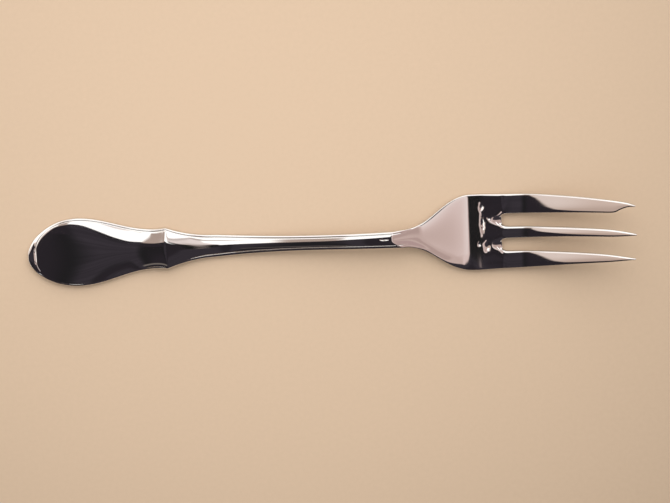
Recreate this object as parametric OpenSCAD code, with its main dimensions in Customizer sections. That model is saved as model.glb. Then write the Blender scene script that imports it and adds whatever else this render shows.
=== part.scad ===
// Pastry fork, stamped from one blank and polished, lying face up.
// X runs along the fork, from the handle's tip to the tine tips, and +Z is up.
// The origin lies under the middle of the whole fork, on the surface that it rests on.

/* [Handle] */
// Length of the broad handle, from its tip to the shoulder points
handle_len = 34.4; // [30:0.2:44]
// Widest part of the handle
handle_w = 17.5; // [14:0.2:22]
// Distance from the tip to the widest part
nose_len = 12.4; // [9:0.2:16]
// Width of the blunt end of the tip
tip_w = 1.5; // [1.2:0.1:2.4]
// How far the tip leans towards the plain side
tip_lean = 0.6; // [0:0.1:1]
// Power of the nose's curve: half is an ellipse, more is a sharper point
nose_power_share = 0.62; // [0.5:0.02:0.8]
// Width at the waist
waist_w = 10.2; // [8:0.2:12]
// Distance from the waist to the shoulder points
waist_back = 3; // [2.2:0.2:6]
// Width across the two shoulder points
hip_w = 10.6; // [8:0.2:13]
// Thickness of the handle at its edge
handle_edge_t = 1.15; // [0.9:0.05:1.6]
// Rise of the domed panel at the waist, where it is highest
panel_rise = 0.85; // [0.4:0.05:1.2]
// Height of the low ridge across the shoulder points
ridge_rise = 0.4; // [0:0.05:0.6]
// Length of the ridge's slope towards the tip
ridge_rear = 7; // [3:0.5:12]
// Length of the ridge's slope towards the stem
ridge_front = 16; // [6:0.5:20]

/* [Border] */
// Width of the border along both edges
border_w = 0.7; // [0.6:0.05:1]
// Width of the border at the handle's tip
border_tip_w = 1.7; // [1.3:0.1:2.4]
// Width of the border where it runs out at the shoulder points
border_hip_w = 0.55; // [0.5:0.05:0.7]
// Rise of the border from its outer to its inner edge
border_rise = 0.2; // [0.05:0.05:0.3]
// Width of the groove between border and panel
groove_w = 0.24; // [0.1:0.02:0.3]
// Depth of the groove
groove_d = 0.2; // [0.05:0.01:0.25]

/* [Stem] */
// Length of the concave taper behind the shoulder points
shoulder_len = 12.2; // [8:0.5:18]
// Length of the slender stem, from the taper to the bend
stem_len = 46.8; // [36:0.2:60]
// Width at the rear end of the stem
stem_rear_w = 5.8; // [5:0.1:7]
// Width at the slimmest place
stem_slim_w = 3.9; // [3.4:0.1:4.8]
// Distance from the stem's rear end to the slimmest place
stem_slim_run = 24; // [14:0.5:32]
// Width at the front end of the stem
stem_front_w = 4.4; // [3.6:0.1:5.5]
// Thickness of the stem at its edge
stem_edge_t = 1.65; // [1.3:0.05:2.2]
// Rise of the stem's domed face at its slimmest place
stem_crown = 0.6; // [0.3:0.05:1]
// Rise of the stem's domed face where it ends at the bend
stem_front_crown = 0.3; // [0.15:0.05:0.8]
// Height of the arch under the stem
stem_rise = 2.15; // [1:0.05:3]
// Length of the level crest of the arch, ahead of the bend
crest_len = 6.5; // [2:0.5:12]

/* [Head] */
// Length of the flare from the stem to the full width of the head
neck_len = 16.4; // [12:0.2:22]
// Length of the bend where the neck drops from the stem
bend_len = 3.6; // [2.4:0.2:6]
// How far behind the bend the stem's face starts to fall away
crease_back = 2.9; // [1:0.1:4]
// Length over which the face falls to the neck's even slope
crease_run = 6.5; // [5:0.5:9]
// Height of the neck's face above the palm's where that fall ends
neck_lift = 0.8; // [0.4:0.05:1.2]
// Height left under the neck after the bend
neck_rise = 0.85; // [0.3:0.05:1]
// Length of the full-width palm, up to the centres of the slot roots
palm_len = 8.8; // [6:0.2:14]
// Full width of the head
head_w = 19.5; // [17:0.2:23]
// How much further the cutting side stands out than the plain side
cutting_extra = 0.56; // [0.1:0.02:1]
// How much the palm narrows on each side as it reaches the tines
palm_taper = 0.2; // [0:0.05:0.5]
// Thickness of the palm at its edge
palm_edge_t = 1.15; // [0.9:0.05:1.5]
// Rise of the palm's face towards its middle
palm_crown = 0.1; // [0.05:0.05:0.5]
// Length of the level heel that the head rests on
heel_len = 4; // [2:0.2:6]

/* [Tines] */
// Length of the middle tine, from the slot roots' centres
tine_len = 31.4; // [24:0.2:40]
// Width of the slots at their roots
slot_w = 3.2; // [2.4:0.1:3.6]
// Width of the middle tine at its root
middle_root_w = 3.1; // [2.4:0.1:3.8]
// Width of the middle tine where its point begins
middle_front_w = 1.7; // [1:0.1:2.2]
// How far the cutting tine stops short of the middle one
cutting_short = 0.9; // [0:0.1:2]
// How far the cutting tine's outer edge draws in towards its tip
cutting_draw = 1.95; // [1:0.05:2.2]
// How far the cutting tine's inner edge draws out towards its tip
cutting_lean = 0.5; // [0:0.05:0.8]
// Length of the slanted end of the cutting tine
slant_len = 4.2; // [3:0.1:7]
// How far the outer tine stops short of the middle one
outer_short = 0.3; // [0:0.1:2]
// Width of the outer tine where its point begins
outer_front_w = 1.1; // [0.8:0.1:2]
// How far the outer tine's centre line draws in towards its tip
outer_draw = 0.8; // [0.2:0.05:1.2]
// Length over which a tine closes to its point
point_len = 8; // [5:0.2:11]
// Width of the blunt end of each point
point_w = 0.45; // [0.3:0.05:0.7]
// Thickness of the tines at their tips
tip_t = 0.9; // [0.6:0.05:1.1]
// Height of the underside of the tine tips
tip_rise = 9.2; // [5:0.2:13]
// Rise of a tine's rounded face above its edges
tine_crown = 0.1; // [0.05:0.05:0.3]

/* [Edges] */
// Rounding along the upper edges
top_edge = 0.28; // [0.15:0.01:0.35]
// Rounding along the lower edges
under_edge = 0.2; // [0.1:0.01:0.3]
// Width of the rolled-over flare beside the slot roots
root_flare = 0.5; // [0.3:0.05:0.9]
// Distance that the flare's point reaches behind a slot root
root_flare_back = 1.9; // [0.9:0.1:2.2]
// Depth of the rolled-over flare at the slot roots
root_flare_d = 0.55; // [0.2:0.05:0.6]
// Length over which the flare runs out along the tines
flare_run = 4; // [3:0.2:8]

/* [Hidden] */
steel = [0.78, 0.77, 0.76];

// Places along the fork, measured from the handle's tip
waist_at = handle_len - waist_back;
stem_at = handle_len + shoulder_len;
slim_at = stem_at + stem_slim_run;
neck_at = stem_at + stem_len;
crease_at = neck_at - crease_back;
palm_at = neck_at + neck_len;
root_at = palm_at + palm_len;
overall_len = root_at + tine_len;
heel_end_at = root_at - palm_len / 2;
heel_at = heel_end_at - heel_len;

// The fork's own centre line, beside the middle of its box
axis_y = -cutting_extra / 2;
slot_y = (middle_root_w + slot_w) / 2;
side_root_y = slot_y + slot_w / 2;

// Hand-chosen shapes of the curves
flare_power_share = 1.65;
rise_power_share = 1.8;
point_power_share = 2.2;
taper_power_share = 1.4;
cutting_power_share = 1.7;
slant_power_share = 1.6;
blunt_power_share = 6;
panel_power_share = 2.3;
panel_start_share = 0.05;
fall_power_share = 1.6;
hip_rear_share = 0.8;
hip_front_share = 0.36;
dome_shares = [0.3, 0.58, 0.82];
tine_face_shares = [0.35, 0.75];
overrun = palm_edge_t;
thin = slot_w / 100;

nose_steps = 11;
tip_steps = 5;
waist_steps = 8;
hip_steps = 5;
shoulder_steps = 9;
stem_steps = 15;
crease_steps = 4;
bend_steps = 6;
flare_steps = 11;
palm_steps = 6;
tine_steps = 12;
point_steps = 9;

function clamp(t) = min(1, max(0, t));

// Smooth change from a to b while t goes from 0 to 1, level at both ends
function ease(a, b, t) = a + (b - a) * (1 - cos(180 * clamp(t))) / 2;

// Change from a to b that is flat at both ends and steep in the middle
function sweep(a, b, t, power) =
    let (u = clamp(t))
    a + (b - a) * pow(u, power) / (pow(u, power) + pow(1 - u, power));

// Rounded start from a to b: steep at t = 0 and level at t = 1
function swell(a, b, t, power) = a + (b - a) * pow(1 - pow(1 - clamp(t), 2), power);

// Half width of the outline at s from the handle's tip. side is 1 on the cutting side, -1 on the plain side
function half_w(s, side) =
    s < nose_len ? swell(tip_w, handle_w, s / nose_len, nose_power_share) / 2 :
    s < waist_at ? ease(handle_w, waist_w, (s - nose_len) / (waist_at - nose_len)) / 2 :
    s < handle_len ? (waist_w + (hip_w - waist_w) * pow((s - waist_at) / waist_back, 2)) / 2 :
    s < stem_at ? (stem_rear_w + (hip_w - stem_rear_w) * pow((stem_at - s) / shoulder_len, 2)) / 2 :
    s < slim_at ? (stem_slim_w + (stem_rear_w - stem_slim_w) * pow((slim_at - s) / stem_slim_run, 2)) / 2 :
    s < neck_at
    ? (stem_slim_w + (stem_front_w - stem_slim_w) * pow((s - slim_at) / (neck_at - slim_at), 2)) / 2 :
    sweep(stem_front_w, head_w + side * cutting_extra, (s - neck_at) / neck_len, flare_power_share) / 2
    - palm_taper * pow(clamp((s - palm_at) / palm_len), 2);

// Height of the underside: level handle, arched stem, drop to the heel, tines curving up
function under_z(s) =
    s < neck_at ? ease(0, stem_rise, (s - stem_at) / (stem_len - crest_len)) :
    s < neck_at + bend_len
    ? neck_rise + (stem_rise - neck_rise) * pow(1 - (s - neck_at) / bend_len, fall_power_share) :
    s < heel_at ? ease(neck_rise, 0, (s - neck_at - bend_len) / (heel_at - neck_at - bend_len)) :
    s < heel_end_at ? 0 :
    tip_rise * pow((s - heel_end_at) / (overall_len - heel_end_at), rise_power_share);

// Thickness at the edge
function edge_t(s) =
    s < neck_at ? ridge(s) + ease(handle_edge_t, stem_edge_t, (s - stem_at) / stem_len) :
    s < root_at ? ease(stem_edge_t, palm_edge_t, (s - neck_at) / neck_len) :
    ease(palm_edge_t, tip_t, (s - root_at) / tine_len);

// The low ridge across the shoulder points
function ridge(s) =
    s < handle_len
    ? ridge_rise * clamp(1 - (handle_len - s) / ridge_rear)
    : ease(ridge_rise, 0, (s - handle_len) / ridge_front);

// Rise of the face's middle above the border. The panel starts level with the border at its round nose
function crown(s) =
    s < waist_at
    ? panel_rise * (1 - pow(1 - clamp((s - border_tip_w) / (waist_at - border_tip_w)), panel_power_share)) :
    s < slim_at ? ease(panel_rise, stem_crown, (s - handle_len) / (slim_at - handle_len)) :
    s < neck_at ? ease(stem_crown, stem_front_crown, (s - slim_at) / (crease_at - slim_at)) :
    ease(stem_front_crown, palm_crown, (s - neck_at) / neck_len);

// Height of the neck's slope above the palm
function lift(s) = neck_lift * max(0, palm_at - s) / (palm_at - crease_at - crease_run);

// Level that cuts the stem's face off in a crease and then falls to the palm, clear of the underside
function cap(s) =
    let (
        palm_top = palm_edge_t + border_rise + palm_crown,
        stem_top = under_z(crease_at) + edge_t(crease_at) + border_rise + crown(crease_at),
        fall = pow(1 - clamp((s - crease_at) / crease_run), fall_power_share),
        level = palm_top + lift(s) + (stem_top - palm_top - lift(crease_at)) * fall
    )
    s < crease_at || s > palm_at ? overall_len : max(level, under_z(s) + under_edge + 2 * top_edge);

// Width of the border, which runs out to the edge at the shoulder points
function hip_dip(s) =
    pow(clamp(1 - abs(s - handle_len) / (waist_back * (s < handle_len ? hip_rear_share : 1))), 2);
function border(s) = border_w - (border_w - border_hip_w) * hip_dip(s);

// Half width of the panel or face inside the border, with its own round nose
function panel_half(s, side) =
    s < nose_len
    ? max(
        panel_start_share * half_w(s, side),
        s < border_tip_w ? 0
        : swell(0, handle_w / 2 - border_w, (s - border_tip_w) / (nose_len - border_tip_w), 1 / 2)
    )
    : half_w(s, side) - border(s);

// The border and its groove fade out where the neck bends
function border_fade(s) = 1 - clamp((s - neck_at) / bend_len);
function groove_depth(s) = s < border_tip_w ? 0 : groove_d * border_fade(s);

// One side of a section, from the edge to the middle: [distance from the centre line, underside, top]
function half_section(s, side) =
    let (
        w = half_w(s, side),
        p = panel_half(s, side),
        u = under_z(s),
        top = cap(s),
        e = min(top, u + edge_t(s)),
        r = u + edge_t(s) + border_rise,
        gw = min(groove_w, (w - top_edge - p) / 2)
    )
    [
        [w, u + under_edge, e - top_edge],
        [w - top_edge, u, e],
        [p + gw, u, min(top, r)],
        [p + gw / 2, u, min(top, r - groove_depth(s))],
        [p, u, min(top, r)],
        for (i = [len(dome_shares) - 1 : -1 : 0])
            [p * dome_shares[i], u, min(top, r + crown(s) * (1 - pow(dome_shares[i], 2)))]
    ];

// A whole section as columns from the plain side to the cutting side: [y, underside, top]
function section(s) =
    let (
        plain = half_section(s, -1),
        cutting = half_section(s, 1),
        n = len(plain),
        mid = axis_y - tip_lean * pow(clamp(1 - s / nose_len), 2)
    )
    [
        for (c = plain) [mid - c[0], c[1], c[2]],
        [mid, under_z(s), min(cap(s), under_z(s) + edge_t(s) + border_rise + crown(s))],
        for (i = [n - 1 : -1 : 0]) [mid + cutting[i][0], cutting[i][1], cutting[i][2]]
    ];

// Height of the palm's face at the slot roots, a distance d from the centre line
function palm_face(d) =
    palm_edge_t + border_rise
    + palm_crown * (1 - pow(min(1, d / panel_half(root_at, -1)), 2))
    + under_z(root_at);

// One ring of points round the columns of a section at s
function ring(s, columns) = [
    for (c = columns) [s - overall_len / 2, c[0], c[1]],
    for (i = [len(columns) - 1 : -1 : 0]) [s - overall_len / 2, columns[i][0], columns[i][2]]
];

// Solid through sections that all have the same number of columns
module loft(places, sections) {
    n = len(sections[0]);
    m = 2 * n;
    last = (len(places) - 1) * m;
    polyhedron(
        points = [for (i = [0 : len(places) - 1]) each ring(places[i], sections[i])],
        faces = [
            for (i = [0 : len(places) - 2], k = [0 : m - 1])
                let (a = i * m + k, b = i * m + (k + 1) % m)
                each [[a, a + m, b + m], [a, b + m, b]],
            for (k = [0 : n - 2])
                let (a = k, b = k + 1, c = m - 2 - k, d = m - 1 - k)
                each [
                    [a, b, c],
                    [a, c, d],
                    [last + a, last + c, last + b],
                    [last + a, last + d, last + c]
                ]
        ]
    );
}

// Evenly spaced places from a to b
function steps(a, b, n) = [for (i = [0 : n]) a + (b - a) * i / n];

// Places from a to b that crowd towards a, for a rounded start
function crowded(a, b, n) = [for (i = [1 : n]) a + (b - a) * (1 - cos(90 * i / n))];

module bordered(places) {
    loft(places, [for (s = places) section(s)]);
}

module handle() {
    color(steel) bordered([
        0,
        each crowded(0, border_tip_w, tip_steps),
        each crowded(border_tip_w, nose_len, nose_steps),
        for (i = [1 : waist_steps]) nose_len + (waist_at - nose_len) * i / waist_steps,
        for (i = [1 : hip_steps]) waist_at + waist_back * i / hip_steps
    ]);
}

module shoulder() {
    color(steel) bordered([
        for (i = [0 : shoulder_steps])
            handle_len + shoulder_len * pow(i / shoulder_steps, 1 + hip_front_share)
    ]);
}

module stem() {
    color(steel) bordered([
        each steps(stem_at, crease_at, stem_steps),
        for (i = [1 : crease_steps]) crease_at + crease_back * i / crease_steps
    ]);
}

module neck() {
    color(steel) bordered([
        each steps(neck_at, neck_at + bend_len, bend_steps),
        for (i = [1 : flare_steps]) neck_at + bend_len + (neck_len - bend_len) * i / flare_steps
    ]);
}

// The round root of one slot, with its upper edge rolled over in a flare that ends in a point
module slot_root(y) {
    face = palm_face(slot_y);
    translate([root_at - overall_len / 2, axis_y + y, 0]) {
        translate([0, 0, -overrun])
            cylinder(r = slot_w / 2, h = face + 2 * overrun, $fn = 48);
        hull() {
            translate([0, 0, face - root_flare_d])
                cylinder(r = slot_w / 2, h = thin, $fn = 48);
            translate([0, 0, face + root_flare_d])
                cylinder(r = slot_w / 2 + 2 * root_flare, h = thin, $fn = 48);
            translate([-slot_w / 2 - 2 * root_flare_back, 0, face + root_flare_d])
                cylinder(r = thin, h = thin, $fn = 12);
        }
    }
}

module palm() {
    color(steel) difference() {
        bordered(steps(palm_at, root_at, palm_steps));
        slot_root(slot_y);
        slot_root(-slot_y);
    }
}

// Share of the width left at place t along a tine that is long mm long and closes over its point
function point_share(t, long, wide) =
    let (v = clamp((t - (long - point_len)) / point_len), blunt = point_w / wide)
    blunt + (1 - blunt) * (1 - pow(v, point_power_share));

// Columns of a tine between two edges at place t ahead of the slot roots.
// flare_a and flare_b say whether an edge faces a slot
function tine_section(t, a, b, flare_a, flare_b) =
    let (
        s = root_at + t,
        u = under_z(s),
        mid = (a + b) / 2,
        half = (b - a) / 2,
        out = clamp(t / flare_run),
        face = ease(palm_face(abs(mid)) - under_z(root_at), edge_t(s) + tine_crown, out),
        edge = face - tine_crown,
        cut_a = min(ease(flare_a ? root_flare : top_edge, top_edge, out), half / 2),
        cut_b = min(ease(flare_b ? root_flare : top_edge, top_edge, out), half / 2),
        drop_a = ease(flare_a ? root_flare_d : top_edge, top_edge, out),
        drop_b = ease(flare_b ? root_flare_d : top_edge, top_edge, out)
    )
    [
        [axis_y + a, u + under_edge, u + edge - drop_a],
        [axis_y + a + cut_a, u, u + edge],
        for (k = tine_face_shares)
            [axis_y + a + cut_a + (half - cut_a) * k, u, u + edge + tine_crown * (1 - pow(1 - k, 2))],
        [axis_y + mid, u, u + face],
        for (i = [len(tine_face_shares) - 1 : -1 : 0])
            let (k = tine_face_shares[i])
            [axis_y + b - cut_b - (half - cut_b) * k, u, u + edge + tine_crown * (1 - pow(1 - k, 2))],
        [axis_y + b - cut_b, u, u + edge],
        [axis_y + b, u + under_edge, u + edge - drop_b]
    ];

// Places along a tine, closer together towards its point
function tine_places(long) = [
    each steps(0, long - point_len, tine_steps),
    for (i = [1 : point_steps]) long - point_len + point_len * sin(90 * i / point_steps)
];

module middle_tine() {
    places = tine_places(tine_len);
    half = [
        for (t = places)
            (middle_root_w + (middle_front_w - middle_root_w) * t / tine_len) / 2
            * point_share(t, tine_len, middle_front_w)
    ];
    color(steel) loft(
        [for (t = places) root_at + t],
        [for (i = [0 : len(places) - 1]) tine_section(places[i], -half[i], half[i], true, true)]
    );
}

module outer_tine() {
    long = tine_len - outer_short;
    root_y = half_w(root_at, -1);
    mid_root = (side_root_y + root_y) / 2;
    root_w = root_y - side_root_y;
    places = tine_places(long);
    taper = [for (t = places) pow(t / long, taper_power_share)];
    mid = [for (k = taper) -(mid_root - outer_draw * k)];
    half = [
        for (i = [0 : len(places) - 1])
            (root_w + (outer_front_w - root_w) * taper[i]) / 2
            * point_share(places[i], long, outer_front_w)
    ];
    color(steel) loft(
        [for (t = places) root_at + t],
        [
            for (i = [0 : len(places) - 1])
                tine_section(places[i], mid[i] - half[i], mid[i] + half[i], false, true)
        ]
    );
}

// The outer edge runs nearly straight to the tip, and the inner edge is cut off in a slant
module cutting_tine() {
    long = tine_len - cutting_short;
    slant_at = long - slant_len;
    root_y = half_w(root_at, 1);
    tip_y = root_y - cutting_draw;
    places = [
        each steps(0, slant_at, tine_steps),
        for (i = [1 : point_steps]) slant_at + slant_len * i / point_steps
    ];
    outer = [
        for (t = places)
            let (v = clamp((t - slant_at) / slant_len))
            root_y - cutting_draw * pow(t / long, cutting_power_share) - point_w * pow(v, blunt_power_share)
    ];
    inner = [
        for (t = places)
            let (
                plain = side_root_y + cutting_lean * pow(t / long, 2),
                v = clamp((t - slant_at) / slant_len),
                end = tip_y - 2 * point_w
            )
            plain + (end - plain) * (1 - pow(1 - v, slant_power_share))
    ];
    color(steel) loft(
        [for (t = places) root_at + t],
        [for (i = [0 : len(places) - 1]) tine_section(places[i], inner[i], outer[i], true, false)]
    );
}

handle();
shoulder();
stem();
neck();
palm();
cutting_tine();
middle_tine();
outer_tine();
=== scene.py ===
import math

import bpy
from mathutils import Matrix, Vector


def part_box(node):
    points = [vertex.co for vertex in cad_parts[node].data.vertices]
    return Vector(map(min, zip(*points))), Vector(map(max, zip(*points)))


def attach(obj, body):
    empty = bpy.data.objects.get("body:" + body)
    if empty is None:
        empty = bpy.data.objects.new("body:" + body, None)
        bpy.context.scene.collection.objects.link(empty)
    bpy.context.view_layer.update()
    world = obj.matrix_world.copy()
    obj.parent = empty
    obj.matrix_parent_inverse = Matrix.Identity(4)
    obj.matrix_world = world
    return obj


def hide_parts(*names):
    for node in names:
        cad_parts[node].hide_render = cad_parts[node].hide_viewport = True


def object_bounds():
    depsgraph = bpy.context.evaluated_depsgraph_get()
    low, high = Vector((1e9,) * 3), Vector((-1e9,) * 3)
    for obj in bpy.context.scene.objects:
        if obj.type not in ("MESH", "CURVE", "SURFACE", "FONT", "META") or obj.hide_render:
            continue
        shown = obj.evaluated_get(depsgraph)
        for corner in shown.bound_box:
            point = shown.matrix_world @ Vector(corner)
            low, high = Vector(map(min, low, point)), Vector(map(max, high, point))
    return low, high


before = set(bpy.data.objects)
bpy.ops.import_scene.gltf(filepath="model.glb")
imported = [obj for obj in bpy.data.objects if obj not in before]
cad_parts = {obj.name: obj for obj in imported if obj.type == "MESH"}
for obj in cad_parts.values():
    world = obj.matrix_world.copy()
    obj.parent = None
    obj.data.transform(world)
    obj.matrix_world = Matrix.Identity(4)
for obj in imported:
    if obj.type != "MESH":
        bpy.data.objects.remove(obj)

cadLow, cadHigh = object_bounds()
mm = 0.001


def nodeWidth(name):
    low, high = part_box(name)
    return high.y - low.y


# Places along the fork, measured from the handle's tip, and widths, all taken from the frame
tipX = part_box("handle")[0].x
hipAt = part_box("handle")[1].x - tipX
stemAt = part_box("shoulder")[1].x - tipX
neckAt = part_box("stem")[1].x - tipX
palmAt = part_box("neck")[1].x - tipX
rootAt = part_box("palm")[1].x - tipX
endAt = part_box("middle_tine")[1].x - tipX
axisY = (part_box("handle")[0].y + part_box("handle")[1].y) / 2
sideExtra = -2 * axisY  # how much further the cutting side stands out

handleSet = {
    "width": nodeWidth("handle"),
    "noseLen": 12.4 * mm,
    "tipWidth": 1.5 * mm,
    "tipShift": 0.6 * mm,
    "nosePower": 0.62,
    "waistWidth": 10.2 * mm,
    "waistBack": 3 * mm,
    "hipWidth": nodeWidth("shoulder"),
    "topLevel": 1.35 * mm,
    "dome": 0.85 * mm,
    "domePower": 2.3,
    "crossRear": 2.6,
    "crossFront": 2,
    "crossFrom": 12 * mm,
    "crossRun": 10 * mm,
    "ridge": 0.42 * mm,
    "ridgePower": 1.1,
    "ridgeBack": 0.5 * mm,
    "ridgeRear": 7 * mm,
    "ridgeFront": 16 * mm,
}
borderSet = {
    "width": 0.7 * mm,
    "tipWidth": 1.8 * mm,
    "stemWidth": 0.9 * mm,
    "hipWidth": 0.5 * mm,
    "hipRear": 0.8,
    "rise": 0.27 * mm,
    "riseStart": 0.05,
    "riseRun": 2.6 * mm,
    "risePower": 1.3,
    "panelStart": 0.3,
    "panelPower": 0.43,
    "round": 0.28 * mm,
    "roundShoulder": 0.25,
    "roundRoom": 1.5,
    "underRound": 0.2 * mm,
    "slopeStep": 0.05 * mm,
    "slopeMost": 4,
    "rimTries": 80,
    "rimReach": 1.2,
}
grooveSet = {
    "width": 0.34 * mm,
    "depth": 0.22 * mm,
    "crease": 0.7,
    "tipShare": 0.68,
    "noseShare": 0.3,
    "noseFall": 1.5 * mm,
    "noseFrom": 5 * mm,
    "noseRun": 9 * mm,
    "plainShare": 0.5,
    "plainFrom": 5 * mm,
    "plainRun": 4 * mm,
    "plainWear": 0.9,
    "plainKept": [(0, 3 * mm), (11.5 * mm, 4 * mm), (hipAt - 3 * mm, 5 * mm)],
    "freshFrom": 2 * mm,
    "freshRun": 6 * mm,
}
stemSet = {
    "rearWidth": nodeWidth("stem"),
    "slimWidth": 3.9 * mm,
    "slimRun": 24 * mm,
    "frontWidth": 4.4 * mm,
    "topLevel": 2 * mm,
    "dome": 0.25 * mm,
    "domeFront": 0.14 * mm,
    "rise": 2.15 * mm,
    "crest": 6.5 * mm,
    "soft": 0.2,
}
headSet = {
    "width": nodeWidth("neck"),
    "bend": 3.6 * mm,
    "bendPower": 1.6,
    "creaseBack": 2.9 * mm,
    "creaseRun": 6.5 * mm,
    "creasePower": 1.6,
    "sectionRun": 1.6,
    "slope": 0.065,
    "slopeEase": 3 * mm,
    "palmCrease": 0.5 * mm,
    "creaseSwing": 187,
    "swingFrom": 5 * mm,
    "swingRun": 8 * mm,
    "startLean": 1.05,
    "leanPower": 0.4,
    "startReach": 4 * mm,
    "neckRise": 0.85 * mm,
    "flarePower": 1.65,
    "taper": 0.2 * mm,
    "topLevel": 1.35 * mm,
    "dome": 0.12 * mm,
    "heel": 4 * mm,
    "round": 0.4 * mm,
    "roundRun": 4 * mm,
    "neckRound": 0.15 * mm,
}
tineSet = {
    "slotWidth": 3.2 * mm,
    "middleRoot": 3.1 * mm,
    "middleFront": 1.7 * mm,
    "cuttingShort": endAt - (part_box("cutting_tine")[1].x - tipX),
    "cuttingDraw": 1.95 * mm,
    "cuttingPower": 1.7,
    "cuttingLean": 0.5 * mm,
    "slant": 4.2 * mm,
    "slantPower": 1.6,
    "slantReach": 0.7 * mm,
    "bluntPower": 6,
    "outerShort": endAt - (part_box("outer_tine")[1].x - tipX),
    "outerFront": 1.1 * mm,
    "outerDraw": 0.8 * mm,
    "taperPower": 1.4,
    "point": 8 * mm,
    "pointPower": 2.2,
    "pointWidth": 0.45 * mm,
    "tipThick": 1 * mm,
    "tipRise": 9.2 * mm,
    "risePower": 1.8,
    "sideSlope": 0.15,
    "round": 0.35 * mm,
    "roundMost": 0.8,
    "flare": 0.5 * mm,
    "flareBack": 1.9 * mm,
    "flareDrop": 0.6 * mm,
    "flareRun": 4 * mm,
    "faceRun": 7 * mm,
}
rootSet = {
    "edgeBeside": 1.1,
    "edgeAhead": 0.62,
    "edgePower": 3,
    "shoulderBeside": 0.2,
    "shoulderAhead": 0.5,
    "least": 0.2 * mm,
}
nose = handleSet["noseLen"]
waistAt = hipAt - handleSet["waistBack"]
slimAt = stemAt + stemSet["slimRun"]
bendEnd = neckAt + headSet["bend"]
heelEnd = (palmAt + rootAt) / 2
heelAt = heelEnd - headSet["heel"]
neckStart = neckAt - headSet["creaseBack"]
palmEdge = palmAt - headSet["palmCrease"]
slotY = (tineSet["middleRoot"] + tineSet["slotWidth"]) / 2


def clamp(t):
    return min(1, max(0, t))


def mix(a, b, t):
    return a + (b - a) * t


def ease(a, b, t):
    return mix(a, b, (1 - math.cos(math.pi * clamp(t))) / 2)


def sweep(a, b, t, power):
    u = clamp(t)
    return mix(a, b, u**power / (u**power + (1 - u) ** power))


def swell(a, b, t, power):
    return mix(a, b, (1 - (1 - clamp(t)) ** 2) ** power)


# Straight change from a to b with a short rounded start and end
def glide(a, b, t, soft):
    u = clamp(t)
    near = min(u, 1 - u)
    share = near**2 / (2 * soft) if near < soft else near - soft / 2
    share /= 1 - soft
    return mix(a, b, share if u < 0.5 else 1 - share)


def halfWidth(s, side):
    h, m = handleSet, stemSet
    if s < nose:
        return swell(h["tipWidth"], h["width"], s / nose, h["nosePower"]) / 2
    if s < waistAt:
        return ease(h["width"], h["waistWidth"], (s - nose) / (waistAt - nose)) / 2
    if s < hipAt:
        return mix(h["waistWidth"], h["hipWidth"], ((s - waistAt) / h["waistBack"]) ** 2) / 2
    if s < stemAt:
        return mix(m["rearWidth"], h["hipWidth"], ((stemAt - s) / (stemAt - hipAt)) ** 2) / 2
    if s < slimAt:
        return mix(m["slimWidth"], m["rearWidth"], ((slimAt - s) / m["slimRun"]) ** 2) / 2
    if s < neckAt:
        return mix(m["slimWidth"], m["frontWidth"], ((s - slimAt) / (neckAt - slimAt)) ** 2) / 2
    full = headSet["width"] + side * sideExtra
    flare = (s - neckAt) / (palmAt - neckAt)
    wide = sweep(m["frontWidth"], full, flare, headSet["flarePower"]) / 2
    return wide - headSet["taper"] * clamp((s - palmAt) / (rootAt - palmAt)) ** 2


def underside(s):
    k = headSet
    if s < neckAt:
        crest = neckAt - stemAt - stemSet["crest"]
        return glide(0, stemSet["rise"], (s - stemAt) / crest, stemSet["soft"])
    if s < bendEnd:
        fall = (1 - (s - neckAt) / k["bend"]) ** k["bendPower"]
        return mix(k["neckRise"], stemSet["rise"], fall)
    if s < heelAt:
        return ease(k["neckRise"], 0, (s - bendEnd) / (heelAt - bendEnd))
    if s < heelEnd:
        return 0
    return tineSet["tipRise"] * ((s - heelEnd) / (endAt - heelEnd)) ** tineSet["risePower"]


def topLevel(s):
    if s < neckAt:
        return ease(handleSet["topLevel"], stemSet["topLevel"], (s - stemAt) / (neckAt - stemAt))
    if s < rootAt:
        return ease(stemSet["topLevel"], headSet["topLevel"], (s - neckAt) / (palmAt - neckAt))
    return ease(headSet["topLevel"], tineSet["tipThick"], (s - rootAt) / (endAt - rootAt))


# The low ridge across the fork between the two shoulder points
def ridge(s):
    h = handleSet
    top = hipAt - h["ridgeBack"]
    if s < top:
        return h["ridge"] * clamp(1 - (top - s) / h["ridgeRear"]) ** h["ridgePower"]
    return ease(h["ridge"], 0, (s - top) / h["ridgeFront"])


def borderWidth(s, side):
    reach = handleSet["waistBack"] * (borderSet["hipRear"] if s < hipAt else 1)
    dip = clamp(1 - abs(s - hipAt) / reach) ** 2
    wide = borderSet["width"]
    if side < 0:
        wide = ease(wide, borderSet["stemWidth"], (s - hipAt) / (stemAt - hipAt))
    return mix(wide, borderSet["hipWidth"], dip)


# Half the width of the domed panel inside the border
def panelHalf(s, side):
    wide, tip = halfWidth(s, side), borderSet["tipWidth"]
    if s >= nose:
        return wide - borderWidth(s, side)
    start = borderSet["panelStart"] * halfWidth(min(s, tip), side)
    full = handleSet["width"] / 2 - borderSet["width"]
    return max(start, swell(0, full, (s - tip) / (nose - tip), borderSet["panelPower"]))


def dome(s):
    h = handleSet
    if s < waistAt:
        start = clamp((s - borderSet["tipWidth"]) / (waistAt - borderSet["tipWidth"]))
        return h["dome"] * (1 - (1 - start) ** h["domePower"])
    if s < slimAt:
        return ease(h["dome"], stemSet["dome"], (s - hipAt) / (slimAt - hipAt))
    return ease(stemSet["dome"], stemSet["domeFront"], (s - slimAt) / (neckStart - slimAt))


# The groove is slighter on the plain side beyond the nose
def plainShare(s):
    return ease(1, grooveSet["plainShare"], (s - grooveSet["plainFrom"]) / grooveSet["plainRun"])


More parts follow.
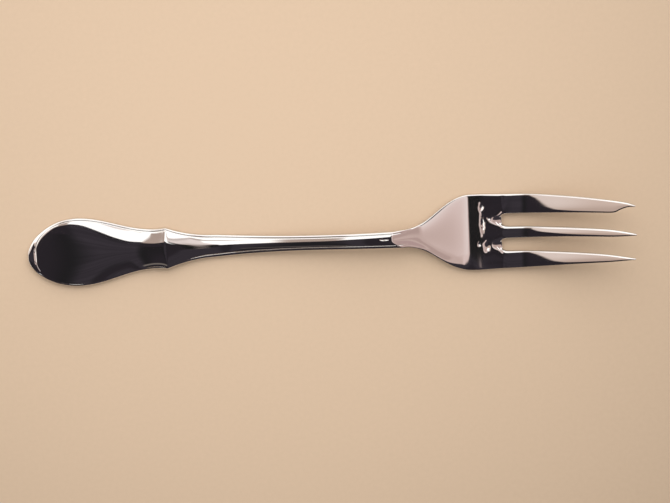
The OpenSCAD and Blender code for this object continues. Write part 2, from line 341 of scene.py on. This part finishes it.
# On the plain side of the handle the groove is worn nearly flat, save at a few places
def grooveDepth(s, side):
    g, tip = grooveSet, borderSet["tipWidth"]
    start = clamp((s - tip) / (g["width"] / 2) + 1)
    if side < 0:
        worn = min(clamp(abs(s - place) / reach) ** 2 for place, reach in g["plainKept"])
        fresh = ease(0, 1, (s - hipAt - g["freshFrom"]) / g["freshRun"])
        share = max(1 - g["plainWear"] * worn, fresh) * plainShare(s)
    else:
        falling = ease(g["tipShare"], g["noseShare"], (s - tip) / g["noseFall"])
        rising = ease(g["noseShare"], 1, (s - g["noseFrom"]) / g["noseRun"])
        share = max(falling, rising)
    return g["depth"] * start * share


# How far a step square to the outline reaches across the fork
def stretch(s, side):
    step = borderSet["slopeStep"]
    slope = (halfWidth(s + step, side) - halfWidth(max(0, s - step), side)) / (2 * step)
    return min(borderSet["slopeMost"], math.hypot(1, slope))


def edgeRound(s, side):
    k, rear = headSet, borderSet["round"]
    if side < 0:
        return ease(rear, k["round"], (s - neckStart) / (palmAt - neckStart))
    if s < palmAt - k["roundRun"]:
        return ease(rear, k["neckRound"], (s - neckStart) / k["bend"])
    return ease(k["neckRound"], k["round"], (s - palmAt + k["roundRun"]) / k["roundRun"])


# Distance from the outline: exact enough round the nose by trying places along it
def rimDistance(s, side, d):
    if s > nose:
        return (halfWidth(s, side) - d) / stretch(s, side)
    best = s if d < handleSet["tipWidth"] / 2 else math.inf
    tries = borderSet["rimTries"]
    for i in range(tries):
        place = nose * borderSet["rimReach"] * (i / (tries - 1)) ** 2
        best = min(best, math.hypot(place - s, halfWidth(place, side) - d))
    return best


def grooveWidth(s, side):
    wide, panel = halfWidth(s, side), panelHalf(s, side)
    groove = grooveSet["width"] * stretch(s, side)
    if side < 0:
        groove *= plainShare(s)
    return min(groove, (wide - panel) / 3)


# Height of the bordered face of handle and stem a distance d from the fork's own centre line
def stemFace(s, side, d):
    h, b = handleSet, borderSet
    panel, groove = panelHalf(s, side), grooveWidth(s, side)
    top = underside(s) + topLevel(s) + ridge(s)
    if d < panel:
        power = mix(h["crossRear"], h["crossFront"], clamp((s - h["crossFrom"]) / h["crossRun"]))
        pit = clamp(1 - abs(s - b["tipWidth"]) / (grooveSet["width"] / 2))
        return top + dome(s) * (1 - (d / panel) ** power) - grooveDepth(s, side) * pit
    if d < panel + groove:
        return top - grooveDepth(s, side) * (1 - abs(2 * (d - panel) / groove - 1))
    rise = b["rise"] * ease(b["riseStart"], 1, s / b["riseRun"])
    inward = clamp(rimDistance(s, side, d) / borderWidth(s, side))
    return top - rise * (1 - inward) ** b["risePower"]


# How far the neck's start leans forward on the plain side
def lean(side, d):
    if side > 0:
        return 0
    return headSet["startLean"] * d * (d / (stemSet["frontWidth"] / 2)) ** headSet["leanPower"]


def startAt(side, d):
    return neckStart + lean(side, d)


# Where the neck's slope ends, which swings back toward the plain side's edge
def creaseAt(s, side, d):
    out = max(0, -side * d - headSet["swingFrom"])
    near = clamp(1 - (palmEdge - s) / headSet["swingRun"])
    return palmEdge - headSet["creaseSwing"] * out**2 * near


# The neck starts with the stem's section, falls at once and ends flat at the palm
def headFace(s, side, d):
    h = headSet
    start = startAt(side, d)
    across = d / halfWidth(s, side)
    stemTop = stemFace(start, side, 0)
    stemSide = stemFace(start, side, across * halfWidth(start, side)) - stemTop
    palmTop = h["topLevel"] + h["dome"]
    back = max(0, creaseAt(s, side, d) - s)
    eased = back - h["slopeEase"] / 2 * (1 - math.exp(-back / h["slopeEase"]))
    level = palmTop + h["slope"] * eased
    done = clamp((s - start) / h["creaseRun"])
    drop = stemTop - palmTop - h["slope"] * (palmEdge - start - h["slopeEase"] / 2)
    bend = mix(stemSide, -h["dome"] * across**2, ease(0, 1, h["sectionRun"] * done))
    lift = underside(s) if s > heelEnd else 0
    return lift + level + drop * (1 - done) ** h["creasePower"] + bend


def faceHeight(s, side, d):
    if s < startAt(side, d):
        return stemFace(s, side, d)
    return headFace(s, side, d)


# Columns of points across the fork, counted from either side to the centre
lastColumn = 20
grooveColumn, slotEdge, slotMiddle, midEdge, centre = 3, 5, 6, 7, 10
domeShares = [0.87, 0.71, 0.53, 0.35, 0.17]
roundShares = [1, 0.2, 0]  # drop of the edge, of the round's shoulder and of the flat
reachShares = [0, 0.2, 1]  # how far in from the edge each of them lies


def bodyColumns(s, side):
    wide, panel, groove = halfWidth(s, side), panelHalf(s, side), grooveWidth(s, side)
    room = (wide - panel - groove) / borderSet["roundRoom"]
    soft = min(edgeRound(s, side) * stretch(s, side), room)
    shoulder = wide - borderSet["roundShoulder"] * soft
    rim = [wide, shoulder, panel + groove, panel + groove / 2, panel]
    return rim + [panel * k for k in domeShares] + [0]


def run(a, b, n):
    return [mix(a, b, i / n) for i in range(1, n + 1)]


def crowded(a, b, n):
    return [mix(a, b, 1 - math.cos(math.pi / 2 * i / n)) for i in range(1, n + 1)]


# Rows of points along the fork, closest where the form turns fastest
rowSet = {
    "waist": 4 * mm,
    "hipRear": 0.8 * mm,
    "hipFront": 0.5 * mm,
    "neckRear": 1.2 * mm,
    "neckFront": 3 * mm,
    "bendFront": 1 * mm,
    "palmRear": 1.6 * mm,
    "palmFront": 1 * mm,
    "flare": 5.6 * mm,
}
flareRow = rootAt - rowSet["flare"]
grooveAt, grooveHalf = borderSet["tipWidth"], grooveSet["width"] / 2
bodyRows = (
    [0]
    + crowded(0, grooveAt - grooveHalf, 4)
    + [grooveAt, grooveAt + grooveHalf]
    + crowded(grooveAt + grooveHalf, nose, 10)
    + run(nose, hipAt - rowSet["waist"], 9)
    + run(hipAt - rowSet["waist"], hipAt - rowSet["hipRear"], 4)
    + [hipAt - rowSet["hipRear"] / 2, hipAt, hipAt + rowSet["hipFront"]]
    + run(hipAt + rowSet["hipFront"], stemAt, 9)
    + run(stemAt, neckStart - rowSet["neckRear"], 19)
    + run(neckStart - rowSet["neckRear"], neckStart + rowSet["neckFront"], 10)
    + run(neckStart + rowSet["neckFront"], bendEnd + rowSet["bendFront"], 5)
    + run(bendEnd + rowSet["bendFront"], palmEdge - rowSet["palmRear"], 7)
    + run(palmEdge - rowSet["palmRear"], palmEdge + rowSet["palmFront"], 5)
    + run(palmEdge + rowSet["palmFront"], flareRow, 3)
)
neckRow = sum(row < neckStart for row in bodyRows)
ringRows = 3  # rows and columns that turn round the slots' ends
rootRow = len(bodyRows) + ringRows - 1
straightRows, pointRows = 12, 9
lastRow = rootRow + 1 + straightRows + pointRows


def pointShare(t, length, wide):
    k = tineSet
    v = clamp((t - (length - k["point"])) / k["point"])
    return mix(k["pointWidth"] / wide, 1, 1 - v ** k["pointPower"])


def middleEdges(t):
    length = endAt - rootAt
    half = mix(tineSet["middleRoot"], tineSet["middleFront"], t / length) / 2
    half *= pointShare(t, length, tineSet["middleFront"])
    return -half, half


def outerEdges(t):
    k = tineSet
    length = endAt - rootAt - k["outerShort"]
    innerY = slotY + k["slotWidth"] / 2
    outerY = halfWidth(rootAt, -1)
    taper = (t / length) ** k["taperPower"]
    middle = (innerY + outerY) / 2 - k["outerDraw"] * taper
    half = mix(outerY - innerY, k["outerFront"], taper) / 2
    half *= pointShare(t, length, k["outerFront"])
    return middle - half, middle + half


def cuttingEdges(t):
    k = tineSet
    length = endAt - rootAt - k["cuttingShort"]
    innerY = slotY + k["slotWidth"] / 2
    outerY = halfWidth(rootAt, 1)
    v = clamp((t - (length - k["slant"])) / k["slant"])
    draw = k["cuttingDraw"] * (t / length) ** k["cuttingPower"]
    outer = outerY - draw - k["pointWidth"] * v ** k["bluntPower"]
    plain = innerY + k["cuttingLean"] * (t / length) ** 2
    tip = outerY - k["cuttingDraw"] - 2 * k["pointWidth"]
    return mix(plain, tip, 1 - (1 - v) ** k["slantPower"]), outer


def tineRun(n, length, front):
    if n <= straightRows:
        return (length - front) * n / straightRows
    return length - front + front * math.sin(math.pi / 2 * (n - straightRows) / pointRows)


def tinePoint(n, column, side):
    k = tineSet
    slanted = side > 0 and column < midEdge
    short = 0 if column >= midEdge else (k["outerShort"] if side < 0 else k["cuttingShort"])
    length = endAt - rootAt - short
    t = tineRun(n, length, k["slant"] if slanted else k["point"])
    if column >= midEdge:
        low, high = middleEdges(t)
    else:
        low, high = cuttingEdges(t) if slanted else outerEdges(t)
    s = rootAt + t
    if slanted:
        s += k["slantReach"] * clamp(1 - (length - t) / k["slant"]) ** k["bluntPower"]
    middle, half = (low + high) / 2, (high - low) / 2
    flare = 1 - clamp(t / k["flareRun"])
    most = k["roundMost"] * half
    reach = min(ease(k["round"], k["flare"], flare), most)
    drop = ease(k["round"], k["flareDrop"], flare)
    plainReach = min(ease(k["round"], headSet["round"], flare), most)
    if column >= midEdge:
        level = min(column - midEdge, 2)
        d = 0 if column == centre else high - reach * reachShares[level]
    elif column <= 2:
        level = column
        d = high - plainReach * reachShares[level]
    else:
        level = slotEdge - column
        d = low + reach * reachShares[level]
    rootFace = faceHeight(rootAt, side, abs(middle)) - underside(rootAt)
    face = ease(rootFace, topLevel(s), t / k["faceRun"])
    across = (d - middle) / half
    sag = k["sideSlope"] * half / 2 * across**2 * ease(0, 1, t / k["flareRun"])
    z = underside(s) + face - sag - drop * roundShares[level]
    return s, d, z


# Rings of points round a slot's end: the edge, the shoulder of its round and the flat
def rootPoint(row, column, side):
    k = rootSet
    behind = rootRow - row
    aside = abs(column - slotMiddle)
    ring = max(behind, aside - 1)
    if ring >= ringRows:
        outward = column < slotMiddle
        s = rootPoint(row, slotMiddle - ringRows if outward else slotMiddle + ringRows, side)[0]
        if not outward:
            return s, 0, faceHeight(s, side, 0)
        d = halfWidth(rootAt, side) - headSet["round"] * reachShares[column]
        return s, d, faceHeight(s, side, d) - headSet["round"] * roundShares[column]
    if behind == ring:
        angle = math.radians(45 * aside / (ring + 1))
    else:
        angle = math.radians(45 + 45 * (ring - behind) / (ring + 1))
    back, beside = math.cos(angle), math.sin(angle)
    slotHalf = tineSet["slotWidth"] / 2
    blunt = (back ** k["edgePower"] + beside ** k["edgePower"]) ** (1 / k["edgePower"])
    edge = slotHalf / blunt * mix(k["edgeBeside"], k["edgeAhead"], back**2)
    shoulder = mix(k["shoulderBeside"], k["shoulderAhead"], back)
    flareX, flareY = slotHalf + tineSet["flareBack"], slotHalf + tineSet["flare"]
    flat = max(edge + k["least"], 1 / (back / flareX + beside / flareY))
    radius = mix(edge, flat, [0, shoulder, 1][ring])
    s = rootAt - radius * back
    d = slotY + math.copysign(radius * beside, slotMiddle - column)
    return s, d, faceHeight(s, side, d) - tineSet["flareDrop"] * [1, shoulder, 0][ring]


def bodyPoint(row, column, side):
    s = bodyRows[row]
    d = bodyColumns(s, side)[column]
    if side < 0:
        s += lean(side, d) * clamp(1 - abs(s - neckStart) / headSet["startReach"])
        d = bodyColumns(s, side)[column]
    if s > bendEnd and 1 < column < centre:
        wide = halfWidth(s, side)
        goal = rootPoint(rootRow - 2, column, side)[1] / halfWidth(rootAt, side) * wide
        d = ease(d, goal, (s - bendEnd) / (flareRow - bendEnd))
    z = faceHeight(s, side, d)
    if column < 2:
        z -= edgeRound(s, side) * roundShares[column]
    return s, d, z


wallShare = 0.3  # how far down the side wall its middle line of points lies


# The place of one point of the blank: layer 0 is the face, 1 the side wall, 2 the underside
def forkPoint(row, column, layer):
    side = -1 if column <= lastColumn / 2 else 1
    near = min(column, lastColumn - column)
    if row < len(bodyRows):
        s, d, z = bodyPoint(row, near, side)
    elif row <= rootRow:
        s, d, z = rootPoint(row, near, side)
    else:
        s, d, z = tinePoint(row - rootRow - 1, near, side)
    if layer:
        low = underside(s)
        slotWall = row >= rootRow and slotEdge <= near <= midEdge
        if near == 0 or slotWall:
            low += borderSet["underRound"]
        z = mix(z, low, wallShare) if layer == 1 else low
    shift = handleSet["tipShift"] * clamp(1 - s / nose) ** 2
    return Vector((tipX + s, axisY + side * d - shift, z))


def deselectAll():
    if bpy.context.object and bpy.context.object.mode != "OBJECT":
        bpy.ops.object.mode_set(mode="OBJECT")
    bpy.ops.object.select_all(action="DESELECT")


# A point of the face's groove line, from the handle's tip to the neck
def onGroove(place):
    near = min(round(place.y), lastColumn - round(place.y))
    return round(place.z) == 0 and near == grooveColumn and place.x < neckRow


# One smooth mesh of the whole fork: a grid with the slots cut out, thickened, then set in place
def buildFork():
    deselectAll()
    bpy.ops.mesh.primitive_grid_add(x_subdivisions=lastRow, y_subdivisions=lastColumn, size=1)
    fork = bpy.context.object
    fork.name = "fork_blank"
    bpy.ops.object.mode_set(mode="EDIT")
    bpy.ops.mesh.select_all(action="SELECT")
    bpy.ops.transform.resize(value=(lastRow, lastColumn, 1))
    bpy.ops.transform.translate(value=(lastRow / 2, lastColumn / 2, 0))
    bpy.ops.mesh.select_all(action="DESELECT")
    bpy.ops.object.mode_set(mode="OBJECT")
    for face in fork.data.polygons:
        column = min(face.center.y, lastColumn - face.center.y)
        face.select = face.center.x > rootRow and slotEdge < column < midEdge
    bpy.ops.object.mode_set(mode="EDIT")
    bpy.ops.mesh.delete(type="FACE")
    bpy.ops.mesh.select_all(action="SELECT")
    bpy.ops.mesh.extrude_region_move(TRANSFORM_OT_translate={"value": (0, 0, -1)})
    bpy.ops.mesh.extrude_region_move(TRANSFORM_OT_translate={"value": (0, 0, -1)})
    bpy.ops.mesh.select_mode(type="EDGE")
    bpy.ops.mesh.select_all(action="DESELECT")
    bpy.ops.object.mode_set(mode="OBJECT")
    for edge in fork.data.edges:
        edge.select = all(onGroove(fork.data.vertices[i].co) for i in edge.vertices)
    bpy.ops.object.mode_set(mode="EDIT")
    bpy.ops.transform.edge_crease(value=grooveSet["crease"])
    bpy.ops.object.mode_set(mode="OBJECT")
    for v in fork.data.vertices:
        v.co = forkPoint(round(v.co.x), round(v.co.y), round(-v.co.z))
    bpy.ops.object.mode_set(mode="EDIT")
    bpy.ops.mesh.select_all(action="SELECT")
    bpy.ops.mesh.normals_make_consistent(inside=False)
    bpy.ops.object.mode_set(mode="OBJECT")
    smooth = fork.modifiers.new("smooth", "SUBSURF")
    smooth.levels = 2
    smooth.render_levels = 2
    bpy.ops.object.modifier_apply(modifier="smooth")
    bpy.ops.object.shade_smooth()
    return fork


def feed(tree, socket, value):
    if isinstance(value, bpy.types.NodeSocket):
        tree.links.new(value, socket)
    else:
        socket.default_value = value


def reckon(tree, operation, *values):
    node = tree.nodes.new("ShaderNodeMath")
    node.operation = operation
    for socket, value in zip(node.inputs, values):
        feed(tree, socket, value)
    return node.outputs[0]


def reckonVector(tree, operation, *values):
    node = tree.nodes.new("ShaderNodeVectorMath")
    node.operation = operation
    for socket, value in zip(node.inputs, values):
        feed(tree, socket, value)
    return node.outputs


def blend(tree, share, first, second):
    node = tree.nodes.new("ShaderNodeMix")
    node.data_type = "RGBA"
    firstColour, secondColour = 6, 7  # the colour pair among the node's sockets
    feed(tree, node.inputs["Factor"], share)
    feed(tree, node.inputs[firstColour], first)
    feed(tree, node.inputs[secondColour], second)
    return node.outputs[2]


def noiseAt(tree, place, scale, **settings):
    node = tree.nodes.new("ShaderNodeTexNoise")
    node.inputs["Scale"].default_value = scale
    for name, value in settings.items():
        node.inputs[name].default_value = value
    tree.links.new(place, node.inputs["Vector"])
    return node.outputs


# Dents: place along and across from the frame's origin, half length and half width, in mm
steelSet = {
    "colour": (0.78, 0.77, 0.76),
    "roughness": 0.04,
    "waver": 1.1 * mm,
    "waverScale": 420,
    "dentDepth": 0.3 * mm,
    "dents": [
        (37.5, 6.4, 0.35, 0.65),
        (37.8, 2, 0.33, 1.7),
        (38.9, -3.7, 0.6, 1),
        (36.9, -3, 0.16, 0.3),
        (39.5, 3.4, 0.22, 0.22),
        (13.3, 0, 0.7, 0.15),
    ],
}


# Polished steel with the few small dents that forging left in the palm and the stem
def steelMaterial():
    k = steelSet
    steel = bpy.data.materials.new("polished_steel")
    steel.use_nodes = True
    tree = steel.node_tree
    shader = tree.nodes["Principled BSDF"]
    shader.inputs["Base Color"].default_value = k["colour"] + (1,)
    shader.inputs["Metallic"].default_value = 1
    shader.inputs["Roughness"].default_value = k["roughness"]
    along, across = k["waver"], k["waver"] / 3
    place = tree.nodes.new("ShaderNodeTexCoord").outputs["Object"]
    noise = noiseAt(tree, place, k["waverScale"])["Color"]
    wavered = reckonVector(tree, "MULTIPLY_ADD", noise, (along, across, 0.0), place)[0]
    height = 0
    for x, y, long, wide in k["dents"]:
        centred = (x * mm + along / 2, y * mm + across / 2, 0.0)
        offset = reckonVector(tree, "SUBTRACT", wavered, centred)[0]
        shares = (1 / (long * mm), 1 / (wide * mm), 0.0)
        away = reckonVector(tree, "MULTIPLY", offset, shares)[0]
        square = reckonVector(tree, "DOT_PRODUCT", away, away)["Value"]
        dent = reckon(tree, "EXPONENT", reckon(tree, "MULTIPLY", square, -1))
        height = reckon(tree, "ADD", dent, height)
    bump = tree.nodes.new("ShaderNodeBump")
    bump.invert = True
    bump.inputs["Distance"].default_value = k["dentDepth"]
    tree.links.new(height, bump.inputs["Height"])
    tree.links.new(bump.outputs[0], shader.inputs["Normal"])
    return steel


cutThreshold = 0.001 * mm


# Cuts one named piece out of the whole fork between two places, with the whole's normals on it
def cutPiece(fork, name, start, end, band):
    deselectAll()
    fork.select_set(True)
    bpy.context.view_layer.objects.active = fork
    bpy.ops.object.duplicate()
    piece = bpy.context.object
    piece.name = name + "_steel"
    bpy.ops.object.mode_set(mode="EDIT")
    for place, ahead in ((start, False), (end, True)):
        if place is not None:
            bpy.ops.mesh.select_all(action="SELECT")
            bpy.ops.mesh.bisect(
                plane_co=(tipX + place, 0, 0),
                plane_no=(1, 0, 0),
                use_fill=True,
                clear_inner=not ahead,
                clear_outer=ahead,
                threshold=cutThreshold,
            )
    if band:
        bpy.ops.mesh.select_mode(type="VERT")
        bpy.ops.mesh.select_all(action="DESELECT")
        bpy.ops.object.mode_set(mode="OBJECT")
        for v in piece.data.vertices:
            v.select = not band[0] < v.co.y - axisY < band[1]
        bpy.ops.object.mode_set(mode="EDIT")
        bpy.ops.mesh.delete(type="VERT")
    bpy.ops.object.mode_set(mode="OBJECT")
    carry = piece.modifiers.new("carry", "DATA_TRANSFER")
    carry.object = fork
    carry.use_loop_data = True
    carry.data_types_loops = {"CUSTOM_NORMAL"}
    carry.loop_mapping = "POLYINTERP_NEAREST"
    bpy.ops.object.modifier_apply(modifier="carry")
    return piece


fork = buildFork()
print("fork mesh", len(fork.data.polygons))
fork.data.materials.append(steelMaterial())
# Each piece's start and end along the fork and, for a tine, its band across it
pieceSet = {
    "handle": (None, hipAt, None),
    "shoulder": (hipAt, stemAt, None),
    "stem": (stemAt, neckAt, None),
    "neck": (neckAt, palmAt, None),
    "palm": (palmAt, rootAt, None),
    "cutting_tine": (rootAt, None, (slotY, cadHigh.y - axisY)),
    "middle_tine": (rootAt, None, (-slotY, slotY)),
    "outer_tine": (rootAt, None, (cadLow.y - axisY, -slotY)),
}
for name, (start, end, band) in pieceSet.items():
    piece = cutPiece(fork, name, start, end, band)
    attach(piece, "root")
    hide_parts(name)
    print(piece.name, len(piece.data.polygons))
bpy.data.objects.remove(fork)

viewSet = {
    "tilt": 14.5,
    "roll": 2.74,
    "distance": 0.7,
    "sensor": 36,
    "pixelsPerMetre": 4029,
    "axisPixel": (330.35, 239.4),
    "imageSize": (670, 503),
}


def addCamera():
    k = viewSet
    tilt, roll = math.radians(k["tilt"]), math.radians(k["roll"])
    across = Vector((1, 0, 0))
    upward = Vector((0, math.cos(tilt), -math.sin(tilt)))
    right = across * math.cos(roll) - upward * math.sin(roll)
    up = across * math.sin(roll) + upward * math.cos(roll)
    back = right.cross(up)
    width, height = k["imageSize"]
    px, py = k["axisPixel"]
    scale = k["pixelsPerMetre"]
    aim = Vector((0, axisY, 0)) + right * ((width / 2 - px) / scale)
    aim += up * ((py - height / 2) / scale)
    data = bpy.data.cameras.new("camera")
    data.sensor_width = k["sensor"]
    data.lens = data.sensor_width * k["distance"] * scale / width
    camera = bpy.data.objects.new("camera", data)
    bpy.context.scene.collection.objects.link(camera)
    turn = Matrix((right, up, back)).transposed().to_4x4()
    camera.matrix_world = Matrix.Translation(aim + back * k["distance"]) @ turn
    bpy.context.scene.camera = camera


addCamera()
print("camera")

paperSet = {
    "size": 3,
    "colour": (0.62, 0.46, 0.327),
    "roughness": 0.9,
    "specular": 0.2,
    # Painted light: the bright spot on the paper's colour and how its painted falloff spreads
    "paintedLightAt": (-25 * mm, 30 * mm, 0),
    "fadeReach": 129 * mm,
    "fade": 0.205,
    "fadePower": 2,
    "fadeMost": 2,
    "grain": 0.03,
    "grainScale": 900,
    "grainDetail": 4,
}


# Plain paper with painted light, brightest near the fork's handle and a little darker toward the
# corners
def addPaper():
    k = paperSet
    bpy.ops.mesh.primitive_plane_add(size=k["size"])
    floor = bpy.context.object
    floor.name = "paper"
    paper = bpy.data.materials.new("paper")
    paper.use_nodes = True
    tree = paper.node_tree
    shader = tree.nodes["Principled BSDF"]
    shader.inputs["Roughness"].default_value = k["roughness"]
    shader.inputs["Specular IOR Level"].default_value = k["specular"]
    place = tree.nodes.new("ShaderNodeTexCoord").outputs["Object"]
    # Painted light: the colour darkens with distance from a bright spot near the handle,
    # standing in for uneven lamp light
    away = reckonVector(tree, "DISTANCE", place, k["paintedLightAt"])["Value"]
    share = reckon(tree, "DIVIDE", away, k["fadeReach"])
    share = reckon(tree, "MINIMUM", share, k["fadeMost"])
    share = reckon(tree, "POWER", share, k["fadePower"])
    fade = reckon(tree, "SUBTRACT", 1, reckon(tree, "MULTIPLY", share, k["fade"]))
    grain = noiseAt(tree, place, k["grainScale"], Detail=k["grainDetail"])[0]
    speck = reckon(tree, "MULTIPLY", reckon(tree, "SUBTRACT", grain, 0.5), 2 * k["grain"])
    share = reckon(tree, "ADD", fade, speck)
    tint = blend(tree, share, (0, 0, 0, 1), k["colour"] + (1,))
    tree.links.new(tint, shader.inputs["Base Color"])
    floor.data.materials.append(paper)


addPaper()
print("paper")

keySet = {"power": 21.5, "size": 1.7, "distance": 0.95, "height": 26, "turn": 5}


# The soft light that throws the shadow, kept out of the steel's reflections
def addKey():
    k = keySet
    data = bpy.data.lights.new("key", "AREA")
    data.shape = "DISK"
    data.size = k["size"]
    data.energy = k["power"]
    key = bpy.data.objects.new("key", data)
    bpy.context.scene.collection.objects.link(key)
    height, turn = math.radians(k["height"]), math.radians(k["turn"])
    level = math.cos(height)
    toward = Vector((math.sin(turn) * level, math.cos(turn) * level, math.sin(height)))
    key.location = toward * k["distance"]
    key.rotation_euler = toward.to_track_quat("Z", "Y").to_euler()
    key.visible_glossy = False


addKey()
print("key light")

# What the steel mirrors, as cards on the sky: colour, softness, edges and any streaks. Each edge
# (a, b, c) keeps a * east + b * north > c, in degrees from straight up, with its own softness if
# it has a fourth number. Later cards lie over earlier ones
warmEdges = [(-1, 0.4, 11.8), (-1.03, 1, 4.7), (-0.57, 1, -7.5)]
roomSet = {
    "dark": (0.0125, 0.0128, 0.0125),
    "dim": (0.027, 0.022, 0.027),
    "haze": (0.043, 0.036, 0.044),
    "warm": (0.74, 0.57, 0.49),
    "warmHigh": (0.86, 0.71, 0.64),
    "warmLow": (0.6, 0.45, 0.38),
    "neck": (0.67, 0.5, 0.455),
    "neckLow": (0.54, 0.38, 0.36),
    "neckHigh": (0.84, 0.65, 0.61),
    "neckMid": (0.54, 0.39, 0.355),
    "white": (1.5, 1.46, 1.42),
    "cream": (0.98, 0.86, 0.76),
    "grey": (0.5, 0.385, 0.33),
    "hem": (0.2, 0.17, 0.155),
    "bright": (0.97, 0.85, 0.82),
    "line": (0.62, 0.52, 0.48),
    "ambient": (0.59, 0.59, 0.58),
    "backdrop": (0.72, 0.56, 0.42),
    "streakAcross": 0.8,
    "streakAlong": 0.05,
    "cards": [
        ("dim", 2.5, [(-1, 0, 10.9)]),
        ("haze", 1.8, [(1, 0, -9), (-1, 0, 3)], 0.5),
        ("dim", 1.3, [(1, 0, -3), (-1, 0, -2.2)], 0.5),
        ("haze", 1.3, [(1, 0, 1), (0, -1, 17)], 0.5),
        ("warm", 1, warmEdges),
        ("warmHigh", 1, warmEdges + [(1, 0, -29, 7)]),
        ("warmLow", 1, warmEdges + [(0, -1, 17, 3)]),
        ("white", 4, [(-1, 0, 52), (0, 1, -60)]),
        ("white", 2, [(-1, 0, 17), (-0.2, 1, 7.5), (0, -1, -26)]),
        ("neck", 0.8, [(1, 0, 4.6), (3.25, 1, -6), (-0.1, 1, -23.6), (-1, 0, -60)]),
        ("neckHigh", 1.3, [(1, 0, 4.6), (0, 1, -22), (-1, 0, -8.5)]),
        ("bright", 1.5, [(1, 0, 5), (-1, 0, -7), (3.25, 1, 5.5), (0, -1, -9.5)]),
        ("white", 0.5, [(1, -0.29, 2.25), (0, 1, 9)]),
        ("white", 0.7, [(0.5, 1, -1), (0, 1, 11.5), (-1, 0, -22)]),
        ("dim", 0.6, [(1, 0, -13.2), (-1, 0, 9), (0, 1, -6), (0, -1, -3.5)]),
        ("white", 1.5, [(0, 1, 24), (0, -1, -78)]),
        ("neck", 2.5, [(1, 0, 25), (0, 1, -10), (0, -1, -42), (-1, 0, -75)]),
        ("neckMid", 2.5, [(1, 0, 12), (0, 1, -12), (0, -1, -1, 4), (-1, 0, -60)]),
        ("neckLow", 3, [(1, 0, 24), (0, 1, 8), (0, -1, -32), (-1, 0, -60)]),
        ("line", 0.7, [(1, 0, -8.2), (-1, 0.29, -2.25), (-0.6, 1, 30.5), (0.6, -1, -35.5)]),
        ("line", 0.5, [(1, -0.2, 0.5), (-1, 0.29, -2.25), (-0.6, 1, 3.6), (0.6, -1, -36)]),
        ("bright", 0.5, [(1, -0.2, 0.5), (-1, 0.29, -1.2), (-0.6, 1, 4.6), (0.7, -1, -28)]),
        ("white", 0.5, [(0.45, 1, 1.2), (-1, 0.2, -0.5), (0, -1, -30)]),
        ("grey", 0.6, [(1, 0.3, -10.6), (-1, -0.04, 8.5), (0, 1, 3), (0, -1, -31)]),
        ("cream", 2, [(1, 0, -34), (-1, 0, 19), (0, 1, 24), (0, -1, -78)]),
        ("hem", 0.9, [(1, 0, -24, 3), (-1, 0, 7.5), (0, 1, -51.6), (0, -1, 48)]),
    ],
}


def rise(tree, value, place, soft):
    node = tree.nodes.new("ShaderNodeMapRange")
    node.interpolation_type = "SMOOTHSTEP"
    node.inputs["From Min"].default_value = place - soft
    node.inputs["From Max"].default_value = place + soft
    tree.links.new(value, node.inputs["Value"])
    return node.outputs["Result"]


# The tint, darker and lighter in fine bands that run nearly along the fork
def streaked(tree, east, north, tint, depth):
    place = tree.nodes.new("ShaderNodeCombineXYZ")
    feed(tree, place.inputs[0], reckon(tree, "MULTIPLY", east, roomSet["streakAlong"]))
    feed(tree, place.inputs[1], reckon(tree, "MULTIPLY", north, roomSet["streakAcross"]))
    noise = noiseAt(tree, place.outputs[0], 1)[0]
    darker, lighter = (tuple(c * k for c in tint) + (1,) for k in (1 - depth, 1 + depth))
    return blend(tree, noise, darker, lighter)


def addRoom():
    world = bpy.data.worlds.new("room")
    bpy.context.scene.world = world
    world.use_nodes = True
    tree = world.node_tree
    sky = tree.nodes.new("ShaderNodeTexCoord")
    parts = tree.nodes.new("ShaderNodeSeparateXYZ")
    tree.links.new(sky.outputs["Generated"], parts.inputs[0])
    east, north = (
        reckon(
            tree,
            "MULTIPLY",
            reckon(tree, "ARCTAN2", parts.outputs[axis], parts.outputs["Z"]),
            math.degrees(1),
        )
        for axis in "XY"
    )
    colour = roomSet["dark"] + (1,)
    for name, soft, edges, *streaks in roomSet["cards"]:
        shape = 1
        for a, b, c, *own in edges:
            eastward = reckon(tree, "MULTIPLY", east, a)
            along = reckon(tree, "ADD", eastward, reckon(tree, "MULTIPLY", north, b))
            shape = reckon(tree, "MULTIPLY", rise(tree, along, c, *(own or [soft])), shape)
        tint = roomSet[name] + (1,)
        if streaks:
            tint = streaked(tree, east, north, roomSet[name], *streaks)
        colour = blend(tree, shape, colour, tint)
    seen = tree.nodes.new("ShaderNodeLightPath")
    for ray, name in ("Is Diffuse Ray", "ambient"), ("Is Camera Ray", "backdrop"):
        colour = blend(tree, seen.outputs[ray], colour, roomSet[name] + (1,))
    tree.links.new(colour, tree.nodes["Background"].inputs["Color"])


addRoom()
bpy.context.scene.view_settings.view_transform = "Standard"
print("room")
